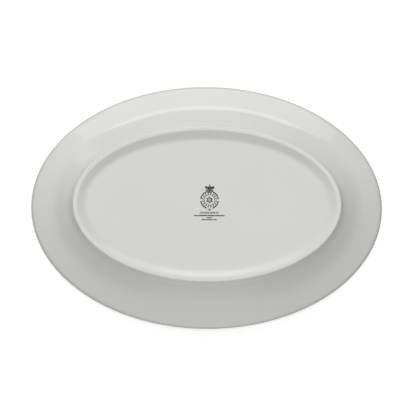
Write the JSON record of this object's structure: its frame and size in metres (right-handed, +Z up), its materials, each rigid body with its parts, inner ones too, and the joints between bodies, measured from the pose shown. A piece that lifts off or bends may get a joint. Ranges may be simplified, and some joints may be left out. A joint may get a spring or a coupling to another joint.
{
  "type": "oval serving platter",
  "caption": "White glazed bone-china oval serving platter with a broad rim, a curved cavetto and a low foot ring, and a printed mark under its base.",
  "frame": {"origin": "middle of the platter on the surface that its foot ring stands on", "axes": "+Z up out of the eating side, +X along the platter's length, +Y across its width"},
  "size_m": [0.337, 0.234, 0.028],
  "materials": {
    "glazed_china": "gloss",
    "mark_ink": "satin"
  },
  "bodies": {
    "root": {"platter_body": "glazed_china", "backstamp_finial": "mark_ink", "backstamp_roundel": "mark_ink", "backstamp_pendant": "mark_ink", "backstamp_line_1": "mark_ink", "backstamp_line_2": "mark_ink", "backstamp_line_3": "mark_ink", "backstamp_line_4": "mark_ink"}
  },
  "joints": []
}
